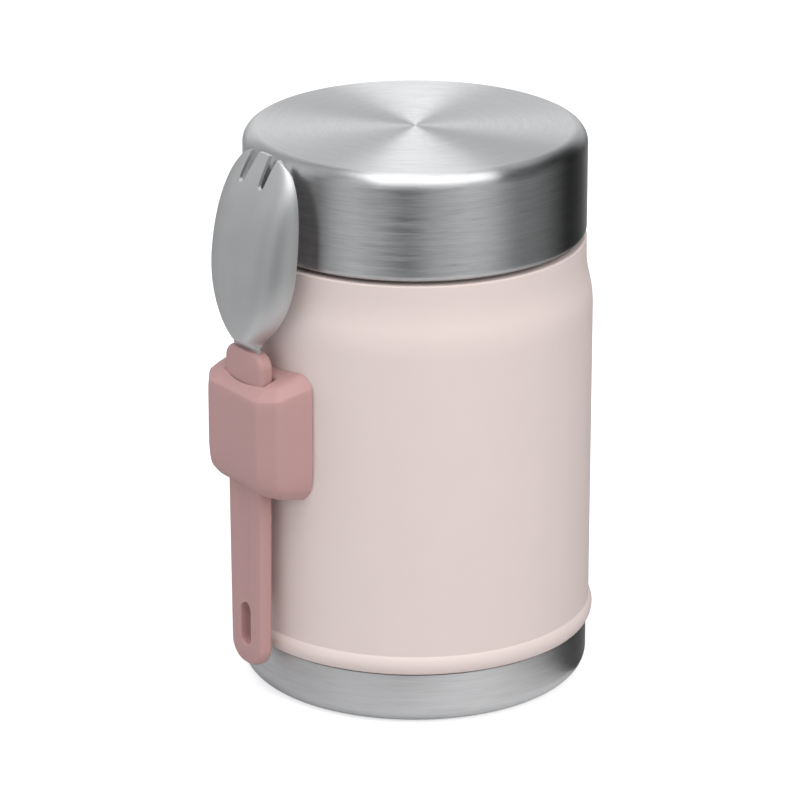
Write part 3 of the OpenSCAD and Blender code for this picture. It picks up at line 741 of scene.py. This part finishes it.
def stem_width(z):
    """Half the handle's width below its seat."""
    taper = (STEM_HALF - TAIL_HALF) * (z - HANDLE_LOW_Z) / (SEAT_Z - HANDLE_LOW_Z)
    return TAIL_HALF + taper - tail_round(z)


def end_thin(z):
    """How much thinner each face is near the two ends."""
    return HANDLE_EDGE_R / 2 * (tail_round(z) / TAIL_CORNER_R + head_round(z) / HEAD_CORNER_R)


def handle_ring(z, a, crown, flute):
    """A section of half width a, whose front is crowned or has a flute."""
    r = min(HANDLE_EDGE_R, a / 2)
    b = HANDLE_T / 2 - end_thin(z)
    outline = arc(-a + r, -b + r, r, 180, 270, 8)
    outline += [((a - r) * (2 * i / 32 - 1), -b) for i in range(1, 32)]
    outline += arc(a - r, -b + r, r, 270, 360, 8)
    outline += arc(a - r, b - r, r, 0, 90, 8)
    outline += [((a - r) * (1 - 2 * i / 8), b) for i in range(1, 8)]
    outline += arc(-a + r, b - r, r, 90, 180, 8)
    ring = []
    for x, y in outline:
        bulge = 0.0
        if y < 0:
            s = min(1.0, abs(x) / a)
            u = abs(x) / FLUTE_HALF
            bulge = crown * (1 - s * s) - flute * max(0.0, 1 - u * u) ** 1.5
        ring.append((x, y - HANDLE_MID_Y - bulge, z))
    return ring


def handle_rings():
    """Sections from the tail up to the top of the head."""
    rings = []
    for i in range(15):
        z = HANDLE_LOW_Z + TAIL_CORNER_R * (1 - math.cos(math.pi / 2 * i / 14))
        rings.append(handle_ring(z, stem_width(z), 0, 0))
    low = HANDLE_LOW_Z + TAIL_CORNER_R
    for i in range(1, 13):
        z = low + (SEAT_Z - SEAT_STEP - low) * i / 12
        rings.append(handle_ring(z, stem_width(z), 0, FLUTE_D * min(1, i / 2) if i < 12 else 0))
    rings.append(handle_ring(SEAT_Z, HEAD_HALF, HEAD_CROWN, 0))
    for i in range(15):
        z = HANDLE_TOP_Z - HEAD_CORNER_R * (1 - math.sin(math.pi / 2 * i / 14))
        rings.append(handle_ring(z, HEAD_HALF - head_round(z), HEAD_CROWN, 0))
    return rings


def hang_cutter():
    """A rounded slot through the handle that widens at both faces."""
    r = HANG_W / 2
    reach = HANG_LEN / 2 - r

    def ring(e, y):
        points = []
        for side, start in ((1, 0), (-1, 180)):
            for i in range(17):
                a = math.radians(start + 180 * i / 16)
                points.append(((r + e) * math.cos(a), y, HANG_Z + side * reach + (r + e) * math.sin(a)))
        return points

    depth = HANDLE_T / 2
    rows = []
    for side in (-1, 1):
        steps = []
        for i in range(6):
            a = math.pi / 2 * i / 5
            steps.append((HANG_FLARE * (1 - math.sin(a)), depth - HANG_FLARE * (1 - math.cos(a))))
        steps = [(HANG_FLARE, depth + HANG_OVERRUN)] + steps
        part = [ring(e, -HANDLE_MID_Y + side * d) for e, d in steps]
        rows += part if side < 0 else part[::-1]
    return loft("hang_cut", rows, None)


handle = loft("handle_body", handle_rings(), rose_plastic, 50)
cut(handle, [hang_cutter()], 50)
weighted(handle)
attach(handle, "spork")
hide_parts("spork_handle")


# Spork head

def along(z):
    """The share of the bowl's length at the height z."""
    return max(0.0, min(1.0, (z - BOWL_Z) / BOWL_LEN))


def rim_y(z):
    """How far out the rim lies, which leans towards the jar on its way up."""
    t = 1 - along(z)
    heel = BOWL_LEAN * HEEL_LEAN_SHARE + NECK_RISE
    return NECK_Y - BOWL_LEAN + BOWL_LEAN * LEAN_SHARE * t + heel * t ** HEEL_LEAN_POWER


def sheet_half(z):
    """Half the width: the neck, which blends into an oval below the widest place and one above it."""
    if z < WIDE_Z:
        u = (WIDE_Z - z) / (WIDE_Z - BOWL_Z)
        oval = max(0.0, 1 - u ** HEEL_OVAL) ** (1 / HEEL_OVAL)
        neck = NECK_HALF / BOWL_HALF
        return BOWL_HALF * (oval ** NECK_BLEND + neck ** NECK_BLEND) ** (1 / NECK_BLEND)
    u = (z - WIDE_Z) / (BOWL_TOP_Z - WIDE_Z)
    return BOWL_HALF * max(0.0, 1 - u ** TIP_OVAL) ** (1 / TIP_OVAL)


def sheet_depth(z):
    """How deep the bowl is at the height z."""
    if z <= BOWL_Z:
        return 0.0
    if z < DEEP_Z:
        return BOWL_D * (1 - ((DEEP_Z - z) / (DEEP_Z - BOWL_Z)) ** 2) ** HEEL_DEPTH_POWER
    return BOWL_D * (1 - ((z - DEEP_Z) / (BOWL_TOP_Z - DEEP_Z)) ** TIP_DEPTH_POWER)


def section(s):
    """The bowl's depth across its width, from 1 in the middle to 0 at the rims."""
    return max(0.0, 1 - abs(s) ** SIDE_POWER) ** 0.5


def sheet_ring(z, n=48):
    """A closed section of the bent sheet at the height z."""
    w = sheet_half(z)
    d = sheet_depth(z)
    y = rim_y(z)
    m = min(1.0, d / (2 * SHEET_T))
    places = [math.sin(math.pi / 2 * (2 * j / n - 1)) for j in range(n + 1)]
    outside = [(w * s, -(y + SHEET_T * (1 - m) + (d + SHEET_T * m) * section(s)), z) for s in places]
    inside = [((w - SHEET_T * m) * s, -(y + d * section(s)), z) for s in reversed(places)]
    return outside + inside


def sheet_heights(n=26):
    """The heights of the sections, closer together at both ends of the bowl."""
    low = [NECK_LOW_Z - 2, NECK_LOW_Z + 1, NECK_LOW_Z + 3]
    angles = [math.pi / 2 * i / n for i in range(n + 1)]
    heel = [WIDE_Z - (WIDE_Z - BOWL_Z) * math.cos(a) for a in angles]
    tip = [WIDE_Z + (BOWL_TOP_Z - WIDE_Z) * TIP_SHARE * math.sin(a) for a in angles[1:]]
    return low + heel + tip


def tine_cutter(side):
    """The gap between two tines, on the side 1 or -1, round at its root and wider at the tips."""
    root_z = BOWL_TOP_Z - TINE_LEN
    r = TINE_GAP / 2
    root = arc(TINE_X, root_z + r, r, 180, 360, 16)
    top_z = BOWL_TOP_Z + 1
    outline = root + [(TINE_X + r + TINE_OUTER_FLARE, top_z), (TINE_X - r - TINE_INNER_FLARE, top_z)]
    if side < 0:
        outline = [(-x, z) for x, z in reversed(outline)]
    return loft("tine_cut", [[(x, y, z) for x, z in outline] for y in TINE_CUT_Y], None)


head = loft("spork_bowl", [sheet_ring(z) for z in sheet_heights()], spork_steel, 45)
cut(head, [tine_cutter(1), tine_cutter(-1)], 45)
edges = head.modifiers.new("edges", "BEVEL")
edges.width = SHEET_EDGE * MM
edges.segments = 2
edges.limit_method = "ANGLE"
edges.angle_limit = math.radians(48)
weighted(head)
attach(head, "spork")
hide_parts("spork_head")


# Floor

def floor_material():
    """White to the camera; to glossy rays its grey is painted darker on one side and paler on the other,
    as painted light in what the steel mirrors.
    """
    mat, tree, bsdf, coord = started("floor_white", 0.0, 0.9, 0.0)
    rays = tree.nodes.new("ShaderNodeLightPath")
    split = tree.nodes.new("ShaderNodeSeparateXYZ")
    tree.links.new(coord, split.inputs[0])
    # painted light: the grey that glossy rays see is darker on one side of the floor and paler on the
    # other
    from_x = calc(tree, "MULTIPLY", split.outputs["X"], -math.sin(EYE_AZIMUTH))
    from_y = calc(tree, "MULTIPLY", split.outputs["Y"], math.cos(EYE_AZIMUTH))
    tilt = calc(tree, "MULTIPLY", calc(tree, "ADD", from_x, from_y), MIRRORED_TILT)
    tilt = calc(tree, "MULTIPLY", tilt, rays.outputs["Is Glossy Ray"])
    tilt = calc(tree, "MINIMUM", calc(tree, "MAXIMUM", tilt, -MIRRORED_TILT_MOST), MIRRORED_TILT_MOST)
    grey = (FLOOR_GREY, FLOOR_GREY, FLOOR_GREY)
    link(tree, tinted(tree, grey, calc(tree, "ADD", 1.0, tilt)), bsdf.inputs["Base Color"])
    bsdf.inputs["Emission Color"].default_value = (1.0, 1.0, 1.0, 1)
    glow = calc(tree, "MULTIPLY", rays.outputs["Is Camera Ray"], FLOOR_GLOW)
    link(tree, glow, bsdf.inputs["Emission Strength"])
    return mat


def edge_at(bm, reach):
    """A ring of floor points, reach of them away from the axis at each angle."""
    angles = [2 * math.pi * i / FLOOR_SIDES for i in range(FLOOR_SIDES)]
    return [bm.verts.new((reach(a) * math.cos(a), reach(a) * math.sin(a), 0)) for a in angles]


def near_reach(a):
    """How far the part of the floor that the steel mirrors goes out; short to the camera's right."""
    to_right = math.degrees(a - EYE_AZIMUTH) % 360
    for (a0, r0), (a1, r1) in zip(NEAR_EDGE, NEAR_EDGE[1:]):
        if a0 <= to_right <= a1:
            return r0 + (r1 - r0) * (to_right - a0) / (a1 - a0)
    return NEAR_REACH


floor_white = floor_material()
near_mesh = bmesh.new()
near_mesh.faces.new(edge_at(near_mesh, near_reach))
floor_near = finished("floor_near", near_mesh, floor_white)

far_mesh = bmesh.new()
inner = edge_at(far_mesh, near_reach)
outer = edge_at(far_mesh, lambda a: FAR_REACH)
for i in range(FLOOR_SIDES):
    far_mesh.faces.new([inner[i - 1], outer[i - 1], outer[i], inner[i]])
floor = finished("floor", far_mesh, floor_white)
floor.visible_glossy = False


# Surroundings, as the photo's studio shows them in the steel

def window(tree, value, low, high, soft):
    """1 where value lies between low and high, 0 outside, with soft edges."""
    rise = spread(tree, value, 0.0, 1.0, low - soft, low + soft)
    fall = spread(tree, value, 1.0, 0.0, high - soft, high + soft)
    return calc(tree, "MULTIPLY", rise, fall)


def product(tree, first, *others):
    """All the values multiplied."""
    for value in others:
        first = calc(tree, "MULTIPLY", first, value)
    return first


def horizon(tree, to_eye, to_right):
    """The brightness in RING by the direction round the jar."""
    azimuth = calc(tree, "ARCTAN2", to_right, to_eye)
    place = calc(tree, "ADD", calc(tree, "DIVIDE", azimuth, 2 * math.pi), 0.5)
    ramp = tree.nodes.new("ShaderNodeValToRGB")
    ramp.color_ramp.interpolation = "EASE"
    while len(ramp.color_ramp.elements) < len(RING):
        ramp.color_ramp.elements.new(0.5)
    for element, (degrees, value) in zip(ramp.color_ramp.elements, RING):
        element.position = (degrees + 180) / 360
        element.color = (value, value, value, 1)
    link(tree, place, ramp.inputs[0])
    return ramp.outputs["Color"]


def mirrored_light(tree, to_eye, to_right, up):
    """What glossy rays meet: the horizon, four soft panels, and pale ground far below."""
    skewed = calc(tree, "SUBTRACT", to_right, calc(tree, "MULTIPLY", to_eye, 0.6))
    overhead = product(
        tree,
        window(tree, up, 0.58, ANYWHERE, 0.08),
        window(tree, to_right, -0.38, ANYWHERE, 0.05),
        window(tree, skewed, -ANYWHERE, 0.51, 0.05),
        window(tree, to_eye, -0.25, ANYWHERE, 0.06),
        OVERHEAD_GLOW)
    aside = product(
        tree,
        window(tree, up, 0.64, ANYWHERE, 0.08),
        window(tree, to_right, 0.14, 0.56, 0.06),
        window(tree, to_eye, -0.80, -0.22, 0.08),
        ASIDE_GLOW)
    wall = product(
        tree,
        window(tree, up, 0.02, 0.8, 0.10),
        spread(tree, to_eye, WALL_GLOW, 0.0, -0.92, -0.72))
    widening = calc(tree, "MULTIPLY", calc(tree, "SUBTRACT", up, 0.36), 0.30)
    inside = calc(tree, "SUBTRACT", widening, calc(tree, "ABSOLUTE", to_right))
    strip = product(
        tree,
        spread(tree, inside, 0.0, STRIP_GLOW, -0.03, 0.03),
        window(tree, to_eye, -ANYWHERE, -0.20, 0.06))
    side = calc(tree, "MULTIPLY", spread(tree, up, 0.0, -0.50, 0.0, 0.30), to_right)
    above = product(tree, horizon(tree, to_eye, to_right), calc(tree, "ADD", 1.0, side))
    for panel in (overhead, calc(tree, "ADD", wall, strip), aside):
        above = calc(tree, "ADD", above, panel)
    below = spread(tree, up, 1.0, 0.0, -0.85, -0.50)
    lift = calc(tree, "MULTIPLY", calc(tree, "SUBTRACT", GROUND_GLOW, above), below)
    return calc(tree, "ADD", above, lift)


def soft_light(tree, to_eye, to_right, up):
    """What lights the matte pieces: a little brighter from above and from the camera."""
    soft = calc(tree, "ADD", 0.41, calc(tree, "MULTIPLY", to_eye, 0.14))
    soft = calc(tree, "ADD", soft, calc(tree, "MULTIPLY", to_right, -0.02))
    return calc(tree, "ADD", soft, calc(tree, "MULTIPLY", up, 0.28))


def either(tree, flag, a, b):
    """a where flag is 1, otherwise b."""
    n = tree.nodes.new("ShaderNodeMix")
    link(tree, flag, n.inputs["Factor"])
    link(tree, b, n.inputs["A"])
    link(tree, a, n.inputs["B"])
    return n.outputs["Result"]


def surroundings():
    """The world: white to the camera, the studio to the steel, and soft light to the rest."""
    world = bpy.data.worlds.new("studio")
    scene.world = world
    world.use_nodes = True
    tree = world.node_tree
    tree.nodes.clear()
    turn = tree.nodes.new("ShaderNodeVectorRotate")
    turn.rotation_type = "Z_AXIS"
    turn.inputs["Angle"].default_value = -EYE_AZIMUTH
    link(tree, tree.nodes.new("ShaderNodeTexCoord").outputs["Generated"], turn.inputs["Vector"])
    split = tree.nodes.new("ShaderNodeSeparateXYZ")
    link(tree, turn.outputs[0], split.inputs[0])
    toward = (split.outputs["X"], split.outputs["Y"], split.outputs["Z"])
    rays = tree.nodes.new("ShaderNodeLightPath")
    strength = either(
        tree, rays.outputs["Is Glossy Ray"], mirrored_light(tree, *toward), soft_light(tree, *toward))
    strength = either(tree, rays.outputs["Is Camera Ray"], 1.0, strength)
    background = tree.nodes.new("ShaderNodeBackground")
    background.inputs["Color"].default_value = (1.0, 1.0, 1.0, 1)
    link(tree, strength, background.inputs["Strength"])
    output = tree.nodes.new("ShaderNodeOutputWorld")
    link(tree, background.outputs[0], output.inputs["Surface"])


surroundings()


# Lights

def softbox(name, azimuth, height, distance, width, power, color=(1.0, 1.0, 1.0)):
    """An area light that looks at the jar's middle, azimuth to the right of the camera."""
    a = EYE_AZIMUTH + math.radians(azimuth)
    light = bpy.data.lights.new(name, "AREA")
    light.shape = "SQUARE"
    light.size = width
    light.energy = power
    light.color = color
    obj = bpy.data.objects.new(name, light)
    obj.location = (distance * math.cos(a), distance * math.sin(a), height)
    aim = Vector((0, 0, 0.08)) - obj.location
    obj.rotation_euler = aim.to_track_quat("-Z", "Y").to_euler()
    obj.visible_glossy = False
    scene.collection.objects.link(obj)


softbox("key", azimuth=30, height=0.86, distance=1.15, width=0.9, power=6.0)
softbox("top", azimuth=-8, height=1.45, distance=0.42, width=1.0, power=9.8)
softbox("fill", azimuth=-105, height=0.5, distance=1.2, width=0.6, power=3.0, color=(0.74, 0.82, 1.0))


# Camera, as it was solved from the photo
cos_p = math.cos(EYE_PITCH)
fx = math.sin(EYE_YAW) * cos_p
fy = math.cos(EYE_YAW) * cos_p
forward = Vector((
    fx * math.cos(EYE_TURN) - fy * math.sin(EYE_TURN),
    fx * math.sin(EYE_TURN) + fy * math.cos(EYE_TURN),
    -math.sin(EYE_PITCH)))
camera = bpy.data.cameras.new("photo_camera")
camera.lens = LENS
camera.sensor_width = SENSOR_WIDTH
camera.clip_start = 0.05
camera.clip_end = 20.0
eye = bpy.data.objects.new("photo_camera", camera)
eye.location = EYE
right = forward.cross(Vector((0, 0, 1))).normalized()
right = right * math.cos(EYE_ROLL) + right.cross(forward) * math.sin(EYE_ROLL)
eye.rotation_euler = Matrix((right, right.cross(forward), -forward)).transposed().to_euler()
scene.collection.objects.link(eye)
scene.camera = eye
scene.view_settings.view_transform = "Standard"
